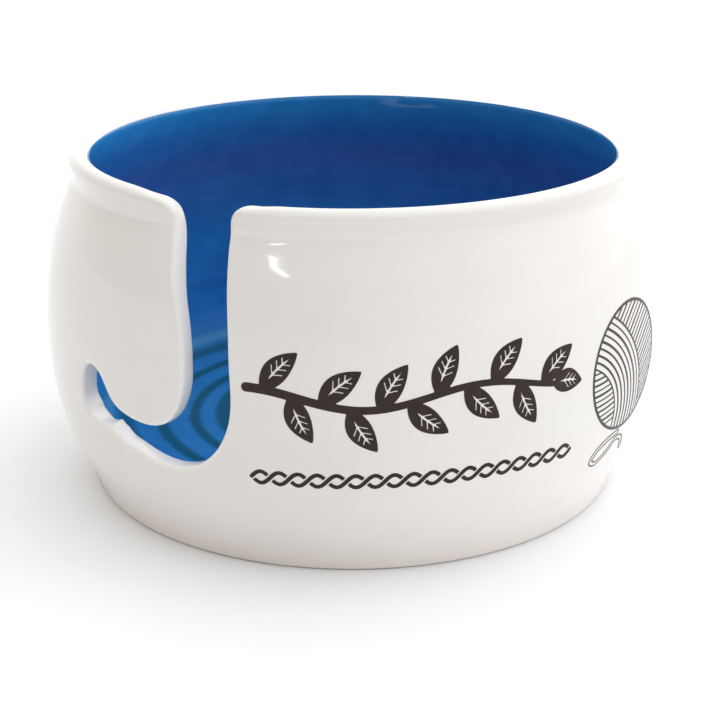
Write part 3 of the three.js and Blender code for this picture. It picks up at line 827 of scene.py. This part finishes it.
def blue_glaze():
    # colour of the wall by height, from the floor to the rim: darkest about three quarters of the way
    # up
    by_height = [
        (0.20, (1.5, 1.20, 1.22)), (0.33, (1.7, 1.32, 1.24)), (0.50, (1.75, 1.38, 1.24)),
        (0.64, (2.5, 1.04, 1.04)), (0.77, (3.0, 0.85, 0.93)), (0.87, (1.9, 1.14, 1.10)),
        (0.95, (1.35, 1.33, 1.12))]
    # specular level by height: subdued on the curve between floor and wall
    specular = [(0.175, 0.5), (0.205, 0.10), (0.31, 0.10), (0.40, 0.5)]
    # painted light: the floor's colour is raised, standing in for the light it gets from above
    floor_painted_light = (1.85, 1.33, 1.10)
    floor_top = 17.5
    mat, k = material("blue_glaze")
    mm = k.millimetres()
    broad = k.noise(mm, size=48)
    dapple = k.noise(mm, size=9, detail=4, rough=0.6, distort=0.4)
    peel = k.noise(mm, size=4.0)
    fine = k.noise(mm, size=0.8, detail=3, rough=0.6)
    z, radius = k.height_and_radius(mm)
    radius = k.plus(radius, k.wander(dapple, width=1.6))
    # pooled glaze in the floor's rings
    stops = []
    for at, half in RINGS[::-1]:
        deep = 0.72 if at > 60 else 0.95 if at > 30 else 0.62
        for r, amount in ((at - half - 1.0, 0.0), (at - half + 1.0, deep),
                          (at + half - 1.0, deep), (at + half + 1.0, 0.0)):
            stops.append((r / RAMP_SPAN, amount))
    pool = k.ramp(k.share(radius, RAMP_SPAN), stops)
    # a pale ring round the floor: painted highlight on the curve up into the wall, partly also glaze
    # breaking paler over it: (radius, amount)
    painted_highlight_ring = [(65.8, 0.0), (67.4, 1.0), (68.4, 1.0), (69.8, 0.0)]
    painted_highlight = k.ramp(k.share(radius, RAMP_SPAN), [(r / RAMP_SPAN, amount) for r, amount in painted_highlight_ring])
    on_floor = k.invert(k.rise(z, start=floor_top, rate=0.7), clamp=True)
    # soft bands left round the wall by the brush
    level = k.add("ShaderNodeCombineXYZ", X=0.0, Y=k.wander(broad, width=3.0), Z=z).outputs[0]
    band = k.noise(level, size=3.6)
    band_strength = 0.24
    on_wall = k.times(k.rise(z, start=20.0, rate=0.2), band_strength)
    col = k.mix((0.013, 0.152, 0.455), (0.019, 0.180, 0.510),
                factor=k.fade(dapple, start=0.3, end=0.7))
    col = k.mix(col, (0.014, 0.090, 0.330),
                factor=k.times(k.fade(band, start=0.38, end=0.66), on_wall))
    col = k.tint(col, (0.005, 0.075, 0.135), k.times(pool, on_floor), strength=0.95)
    # painted highlight: the pale ring round the floor
    col = k.tint(col, (0.048, 0.235, 0.530), k.times(painted_highlight, on_floor), strength=0.9)
    wall_col = k.multiply(col, k.ramp(k.share(z, RAMP_SPAN), by_height))
    # painted light on the floor, giving way to the wall's colour above floor_top
    col = k.mix(k.multiply(col, floor_painted_light), wall_col,
                factor=k.rise(z, start=floor_top, rate=0.4))
    # thinner and paler right at the top edge
    col = k.tint(col, (0.05, 0.24, 0.55), k.rise(z, start=86.4, rate=0.6), strength=0.30)
    fine_rough = 0.02
    rough = k.plus(k.fade(dapple, start=0.3, end=0.75, low=0.07, high=0.13),
                   k.times(fine, fine_rough))
    k.output(k.principled(
        Base_Color=col, Roughness=rough, IOR=1.47,
        Normal=k.bumps((broad, 0.05), (peel, 0.012), (band, 0.035), (fine, 0.0012)),
        Specular_IOR_Level=k.ramp(k.share(z, RAMP_SPAN), specular)))
    return mat


def bare_clay():
    mat, k = material("bare_clay")
    mm = k.millimetres()
    body = k.noise(mm, size=12, detail=4, rough=0.6)
    grain = k.noise(mm, size=0.7, detail=4, rough=0.7)
    grit = k.noise(mm, size=0.22, rough=0.6)
    col = k.mix((0.70, 0.66, 0.60), (0.77, 0.735, 0.675), factor=k.fade(body, start=0.3, end=0.7))
    col = k.tint(col, (0.57, 0.52, 0.46), k.fade(grain, start=0.5, end=0.8), strength=0.5)
    speck_size = 0.10
    cells = k.add("ShaderNodeTexVoronoi", Vector=mm, Scale=0.55)
    dot = k.math("LESS_THAN", cells.outputs["Distance"], speck_size)
    col = k.tint(col, (0.33, 0.25, 0.18), dot, strength=0.5)
    k.output(k.principled(
        Base_Color=col, Roughness=k.fade(grain, start=0.3, end=0.7, low=0.78, high=0.93),
        Normal=k.bumps((body, 0.1), (grain, 0.06), (grit, 0.03))))
    return mat


def ink(name, dark, light):
    """Mottled print with the glaze's gloss over it; returns its slot name and material."""
    speck_gain = 2.1
    mat, k = material(name)
    mm = k.millimetres()
    mottle = k.noise(mm, size=2.4, detail=4, rough=0.65)
    speck = k.noise(mm, size=0.35, detail=3, rough=0.7)
    peel = k.noise(mm, size=5.0)
    col = k.mix(dark, light, factor=k.fade(mottle, start=0.3, end=0.75))
    col = k.tint(col, tuple(c * speck_gain for c in light),
                 k.fade(speck, start=0.60, end=0.78), strength=0.30)
    k.output(k.principled(
        Base_Color=col, Roughness=k.fade(mottle, start=0.3, end=0.75, low=0.14, high=0.24),
        Normal=k.bumps((peel, 0.010), (speck, 0.003)), IOR=1.38))
    return name, mat


def attach(ob, slot_and_material, node):
    slot, mat = slot_and_material
    ob.data.materials.append(mat)
    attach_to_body(ob, "root")
    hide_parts(node)


body_materials = [("white_glaze", white_glaze()), ("blue_glaze", blue_glaze()),
                  ("clay", bare_clay())]
BROWN = ink("brown_print", dark=(0.014, 0.005, 0.002), light=(0.026, 0.012, 0.007))
GREY = ink("grey_print", dark=(0.035, 0.027, 0.024), light=(0.055, 0.046, 0.042))
for ob, look, node in zip((white_coat, blue_lining, clay_body), body_materials,
                          ("outer_glaze", "inner_glaze", "bowl_body")):
    attach(ob, look, node)

# ------------------------------------------------------------------ prints
# Each print is a field on the unrolled wall, X across and Y up, below zero where there is ink.
BROWN_MID, BALL_MID = 11.3, 55.5              # degrees: middles of the brown and the grey prints
BALL_Z, BALL_R = 43.5, 16.7
OFF = 9.0                                     # field value well clear of any ink
INK_OUT, INK_IN = 0.05, 0.03                  # ink skin above and below the wall's surface


def grid_over(x0, x1, y0, y1, cell):
    xs, ys = np.arange(x0, x1 + cell, cell), np.arange(y0, y1 + cell, cell)
    return xs, ys, *np.meshgrid(xs, ys)


def to_line(X, Y, line):
    """Distance from every grid point to a polyline."""
    best = np.full(X.shape, 1e9)
    for (ax, ay), (bx, by) in zip(line[:-1], line[1:]):
        near = ((X > min(ax, bx) - 4) & (X < max(ax, bx) + 4)
                & (Y > min(ay, by) - 4) & (Y < max(ay, by) + 4))
        if not near.any():
            continue
        px, py, dx, dy = X[near] - ax, Y[near] - ay, bx - ax, by - ay
        t = np.clip((px * dx + py * dy) / (dx * dx + dy * dy), 0, 1)
        best[near] = np.minimum(best[near], np.hypot(px - t * dx, py - t * dy))
    return best


def print_on(name, xs, ys, field, middle_deg, look):
    """A thin skin of ink on the outside of the bowl, wherever the field is below zero."""
    cell = xs[1] - xs[0]
    # values too near zero would make slivers
    f = np.where(np.abs(field) < 0.03 * cell, -0.03 * cell, field)
    inked = f < 0
    spots, faces, known = [], [], {}

    def spot(key, x, y):
        if key not in known:
            known[key] = len(spots)
            spots.append((x, y))
        return known[key]

    def crossing(a, b):
        (i, j), (i2, j2) = sorted((a, b))
        t = f[i, j] / (f[i, j] - f[i2, j2])
        return spot((1 if i == i2 else 2, i, j),
                    xs[j] + t * (xs[j2] - xs[j]), ys[i] + t * (ys[i2] - ys[i]))

    some = inked[:-1, :-1] | inked[1:, :-1] | inked[:-1, 1:] | inked[1:, 1:]
    for i, j in zip(*np.nonzero(some)):
        loop = [(i, j), (i, j + 1), (i + 1, j + 1), (i + 1, j)]
        face = []
        for a, b in zip(loop, loop[1:] + loop[:1]):
            if inked[a]:
                face.append(spot((0, *a), xs[a[1]], ys[a[0]]))
            if inked[a] != inked[b]:
                face.append(crossing(a, b))
        faces.append(tuple(face))
    spots = np.array(spots)
    th = math.radians(middle_deg) + spots[:, 0] / R_FLAT
    n, p = n_out(th, spots[:, 1]), p_out(th, spots[:, 1])
    ob = make_object(name, np.concatenate([p + n * INK_OUT, p - n * INK_IN]),
                     closed_skin(faces, set(edges_of(faces)), len(p)), np.concatenate([n, -n]))
    attach(ob, look, name + "_transfer")


def stem_z(s):
    return 48.2 + 2.2 * np.sin(s / 41.0 * math.pi * 1.5)


def leaf(X, Y, root, turn, length, width):
    """One leaf on the stem, leaning `turn` degrees from it, with its veins left bare."""
    curl, vein_half, side_half = 0.55, 0.24, 0.13
    lean = math.atan(float(stem_z(root + 0.5) - stem_z(root - 0.5))) + math.radians(turn)
    c, s = math.cos(lean), math.sin(lean)
    dx, dy = X - root, Y - float(stem_z(root))
    along, across = dx * c + dy * s, -dx * s + dy * c
    t = np.clip(along / length, 0, 1)
    across = across - curl * np.sign(turn) * np.sin(t * math.pi)
    half = width / 2 * np.sin(math.pi * t ** 0.85) ** 0.8
    blade = np.maximum(np.abs(across) - half, np.maximum(-along, along - length))
    vein = vein_half * np.clip((t - 0.20) / 0.15, 0, 1) * np.clip((0.86 - t) / 0.2, 0, 1)
    bare = np.where(vein > 0.01, np.abs(across) - vein, OFF)
    for start in (0.36, 0.50, 0.64):          # side veins, by share of the length
        back = np.abs(across) * 0.9 - (along - start * length)
        side = np.where(np.abs(across) < half * 0.66, np.abs(back) * 0.74 - side_half, OFF)
        bare = np.minimum(bare, side)
    return np.maximum(blade, -bare)


def leaf_garland():
    xs, ys, X, Y = grid_over(-46, 47, 33.5, 63.5, 0.22)
    stem = np.arange(-41, 33.01, 0.5)
    taper = 1.10 - 0.40 * np.clip((X + 41) / 74, 0, 1)
    field = to_line(X, Y, list(zip(stem, stem_z(stem)))) - taper
    # (root along the stem, lean in degrees, length, width)
    leaves = [(-37.5 + k * 6.7, 52 if k % 2 == 0 else -52, 12.3, 5.8) for k in range(11)]
    leaves.append((33.0, 4, 9.4, 5.8))
    for entry in leaves:
        field = np.minimum(field, leaf(X, Y, *entry))
    print_on("leaf_garland", xs, ys, field, BROWN_MID, BROWN)


def twisted_cord():
    middle, swing, wave, start, half = 28.0, 1.55, 9.0, 40.5, 0.5
    clear, reach = 0.85, 1.9                  # gap beside the upper strand; where it applies
    xs, ys, X, Y = grid_over(-42, 42, 25, 31, 0.16)
    s = np.arange(-start, 40.51, 0.3)
    one, two = (to_line(X, Y, list(zip(
        s, middle + side * np.sin(2 * math.pi * (s + start) / wave)))) for side in (swing, -swing))
    # where the strands cross, the one underneath stops short on both sides
    phase = (X + start) / (wave / 2)
    over_one = np.mod(np.round(phase), 2) == 0
    near = np.abs(phase - np.round(phase)) * (wave / 2) < reach
    strand_one = np.where(near & ~over_one, np.maximum(one - half, clear - two), one - half)
    strand_two = np.where(near & over_one, np.maximum(two - half, clear - one), two - half)
    print_on("twisted_cord", xs, ys, np.minimum(strand_one, strand_two), BROWN_MID, BROWN)


def yarn_ball():
    reach, outline_half = 17.4, 0.38
    xs, ys, X, Y = grid_over(-reach, reach, BALL_Z - reach, BALL_Z + reach, 0.16)
    U, V = X, Y - BALL_Z
    from_middle = np.hypot(U, V)
    field = np.abs(from_middle - (BALL_R - outline_half)) - outline_half
    front = np.hypot(U + 22.8, V + 12)
    # wound strands: (centre, first and last radius, how many, half-width, where they show)
    sets = [((-22.8, -12.0), 16.8, 30.5, 9, 0.29, (front > 16.6) & (front < 30.7)),
            ((-15.0, 30.0), 14.8, 43.0, 20, 0.24, front < 16.8),
            ((30.0, -26.0), 20.0, 58.0, 26, 0.24, front > 30.5)]
    for (x, y), first, last, count, half, shown in sets:
        away = np.hypot(U - x, V - y)
        for radius in np.linspace(first, last, count):
            weight = half + 0.07 * math.sin(radius * 1.7)
            strand = np.maximum(np.abs(away - radius) - weight, from_middle - (BALL_R - 0.3))
            field = np.minimum(field, np.where(shown, strand, OFF))
    print_on("yarn_ball", xs, ys, field, BALL_MID, GREY)


def yarn_tail():
    xs, ys, X, Y = grid_over(-15.0, 6.5, 15.0, 29.5, 0.16)
    via = np.array([(-1.6, 25.9), (-6.2, 25.2), (-10.6, 23.4), (-12.2, 20.9), (-9.6, 19.4),
                    (-5.5, 21.2), (-1.9, 23.8), (1.6, 23.2), (3.6, 19.9)])
    ends = np.concatenate([[2 * via[0] - via[1]], via, [2 * via[-1] - via[-2]]])
    curve = []
    for i in range(len(via) - 1):             # Catmull-Rom spline
        p0, p1, p2, p3 = ends[i:i + 4]
        for t in np.linspace(0, 1, 12, endpoint=False):
            curve.append(0.5 * (2 * p1 + (p2 - p0) * t + (2 * p0 - 5 * p1 + 4 * p2 - p3) * t * t
                                + (3 * p1 - p0 - 3 * p2 + p3) * t ** 3))
    curve.append(via[-1])
    away = to_line(X, Y, curve)
    # drawn as an outline: two thin lines with a light core
    half, core = 0.78, 0.40
    print_on("yarn_tail", xs, ys, np.maximum(away - half, core - away), BALL_MID, GREY)


leaf_garland()
twisted_cord()
yarn_ball()
yarn_tail()

# ------------------------------------------------------------------ floor
scene = bpy.context.scene
scene.view_settings.view_transform = "Standard"
scene.view_settings.look = "None"


def quad(name, corners, mat):
    mesh = bpy.data.meshes.new(name)
    mesh.from_pydata([tuple(c) for c in corners], [], [tuple(range(len(corners)))])
    mesh.materials.append(mat)
    ob = bpy.data.objects.new(name, mesh)
    scene.collection.objects.link(ob)
    return ob


def floor_material():
    """Matt near the bowl, fading to plain white, less so where the glaze mirrors it."""
    fade_whole, mirror_cut = 1.6, 0.6         # metres; share of the white lost in mirroring
    mat, k = material("floor")
    place = k.add("ShaderNodeTexCoord").outputs["Object"]
    soft = k.add("ShaderNodeTexNoise", Vector=place, Scale=6.0, Detail=3.0).outputs[0]
    matt = k.principled(
        Base_Color=k.mix((0.918, 0.930, 0.957), (0.943, 0.954, 0.976), factor=soft),
        Roughness=0.75, Specular_IOR_Level=0.15)
    plain_white = k.add("ShaderNodeEmission", Color=(1, 1, 1), Strength=1.0).outputs[0]
    far = k.fade(k.share(k.vector_math("LENGTH", place), fade_whole), start=0.22, end=0.62)
    mirrored = k.add("ShaderNodeLightPath").outputs["Is Glossy Ray"]
    far = k.times(far, k.invert(k.times(mirrored, mirror_cut)))
    k.output(k.add("ShaderNodeMixShader", far, matt, plain_white).outputs[0])
    return mat


FLOOR_HALF = 40.0
quad("floor", [(x * FLOOR_HALF, y * FLOOR_HALF, Z0)
               for x, y in ((-1, -1), (1, -1), (1, 1), (-1, 1))], floor_material())

# ------------------------------------------------------------------ world
# Light from all round, then glows: (strength, direction, tightness)
WORLD_BASE = 0.55
WORLD_GLOWS = [(0.82, (0, 0, 1), 1.0), (0.86, (1, -0.28, 0.2), 1.7), (0.30, (0, 1, 0.25), 1.5),
               (-0.44, (0, -1, 0.1), 1.0), (-0.13, (-1, -0.3, 0.2), 1.0)]
# What the glaze mirrors
MIRROR_BASE = 0.28
MIRROR_GLOWS = [(0.80, (0, 1, 0.1), 1.6), (0.66, (1, 0.1, 0.2), 1.5), (-0.18, (-1, 0.1, 0), 1.5)]
MIRROR_HAZE, HAZE_TOP, HAZE_POWER = 0.50, 0.50, 2.2
WARM_FROM, WARM_COLOUR = (-1, -0.35, 0.1), (1.0, 0.955, 0.87)

world = bpy.data.worlds.new("studio")
scene.world = world
world.use_nodes = True
k = Shader(world.node_tree)
direction = k.add("ShaderNodeTexCoord").outputs["Generated"]


def toward(aim, tightness):
    facing = k.vector_math("DOT_PRODUCT", direction, Vector(aim).normalized())
    return k.math("POWER", k.math("MAXIMUM", facing, 0.0), tightness)


def glowing(base, glows):
    value = base
    for strength, aim, tightness in glows:
        value = k.plus(value, k.times(toward(aim, tightness), strength))
    return k.math("MAXIMUM", value, 0.0)


def choose(mask, when_set, otherwise):
    return k.plus(k.times(mask, when_set), k.times(k.invert(mask), otherwise))


path = k.add("ShaderNodeLightPath")
glossy, seen = path.outputs["Is Glossy Ray"], path.outputs["Is Camera Ray"]
lightness = glowing(WORLD_BASE, WORLD_GLOWS)
mirrored = glowing(MIRROR_BASE, MIRROR_GLOWS)
# haze hides the line of the horizon in the glaze
above = k.add("ShaderNodeSeparateXYZ", direction).outputs[2]
haze = k.math("POWER", k.invert(k.share(above, HAZE_TOP)), HAZE_POWER)
mirrored = k.plus(mirrored, k.times(haze, MIRROR_HAZE))
lightness = choose(glossy, mirrored, lightness)
warm = k.times(k.invert(seen), toward(WARM_FROM, tightness=1.0))
background = k.add("ShaderNodeBackground", Color=k.mix((1.0, 1.0, 1.0), WARM_COLOUR, factor=warm),
                   Strength=choose(seen, 1.0, lightness))
k.output(background.outputs[0], "ShaderNodeOutputWorld")


# ------------------------------------------------------------------ lights
def area(name, at, aim, wide, high, power):
    light = bpy.data.lights.new(name, "AREA")
    light.shape, light.size, light.size_y, light.energy = "RECTANGLE", wide, high, power
    ob = bpy.data.objects.new(name, light)
    at, aim = Vector(at), Vector(aim)
    turned = (aim - at).to_track_quat("-Z", "Y").to_matrix().to_4x4()
    ob.matrix_world = Matrix.Translation(at) @ turned
    scene.collection.objects.link(ob)
    ob.visible_camera = ob.visible_glossy = False
    return ob


PANE_AWAY, PANE_CENTRE_Z = 1.6, 0.06          # metres, from the bowl's axis and foot


def pane(name, az, el, wide, high, lean, strength):
    """A bright pane only there to be mirrored in the glaze. Sizes and places in degrees,
    az from -Y and el above the level."""
    mat, k = material(name)
    k.output(k.add("ShaderNodeEmission", Color=(0.95, 0.98, 1.0), Strength=strength).outputs[0])
    corners = []
    for u, v in ((-1, -1), (1, -1), (1, 1), (-1, 1)):
        a = math.radians(az + u * wide / 2 + v * lean / 2)
        e = math.radians(el + v * high / 2)
        aim = Vector((math.sin(a) * math.cos(e), -math.cos(a) * math.cos(e), math.sin(e)))
        corners.append(aim * PANE_AWAY + Vector((CX, CY, Z0 + PANE_CENTRE_Z)))
    ob = quad(name, corners, mat)
    ob.visible_camera = ob.visible_diffuse = ob.visible_shadow = False
    ob.visible_transmission = ob.visible_volume_scatter = False


area("key", at=(0.75, 0.45, 0.85), aim=(CX, CY, Z0 + 0.05), wide=0.9, high=0.9, power=1.5)
# a soft fill over the mouth, for the far side of the rim; it lights the white coat only
rim_fill = area("rim_fill", at=(CX - 0.004, CY - 0.004, Z0 + 0.104),
                aim=(CX + 0.05, CY + 0.05, Z0 + 0.088), wide=0.05, high=0.02, power=0.045)
lit = bpy.data.collections.new("rim_fill_on")
lit.objects.link(white_coat)
rim_fill.light_linking.receiver_collection = lit
pane("pane_small", az=-28.5, el=25.8, wide=3.0, high=4.3, lean=-7.5, strength=15.0)
# three faint, slanting ones: (az, el, wide, high, lean)
FAINT_PANES = [(-17, 14, 3.0, 9.0, 9.0), (4, 12, 4.0, 12.0, -10.0), (15, 17, 2.5, 8.0, -8.0)]
for i, entry in enumerate(FAINT_PANES):
    pane(f"pane_{i}", *entry, strength=0.9)

# ------------------------------------------------------------------ camera
CAMERA_BACK, CAMERA_UP = 418.0, 182.55        # mm, towards -Y from the axis and above the foot
pitch, yaw, tilt = math.radians(20.326), math.radians(0.233), math.radians(-0.121)
lens = bpy.data.cameras.new("camera")
lens.lens, lens.sensor_width, lens.sensor_fit = 80.46, 36.0, "HORIZONTAL"
lens.clip_start, lens.clip_end = 0.01, 100.0
camera = bpy.data.objects.new("camera", lens)
scene.collection.objects.link(camera)
forward = Vector((math.sin(yaw) * math.cos(pitch), math.cos(yaw) * math.cos(pitch),
                  -math.sin(pitch)))
level_right = Vector((math.cos(yaw), -math.sin(yaw), 0))
level_up = level_right.cross(forward)
right = level_right * math.cos(tilt) + level_up * math.sin(tilt)
up = level_up * math.cos(tilt) - level_right * math.sin(tilt)
stand = Vector((CX, CY - CAMERA_BACK * MM, Z0 + CAMERA_UP * MM))
camera.matrix_world = (Matrix.Translation(stand)
                       @ Matrix((right, up, -forward)).transposed().to_4x4())
scene.camera = camera
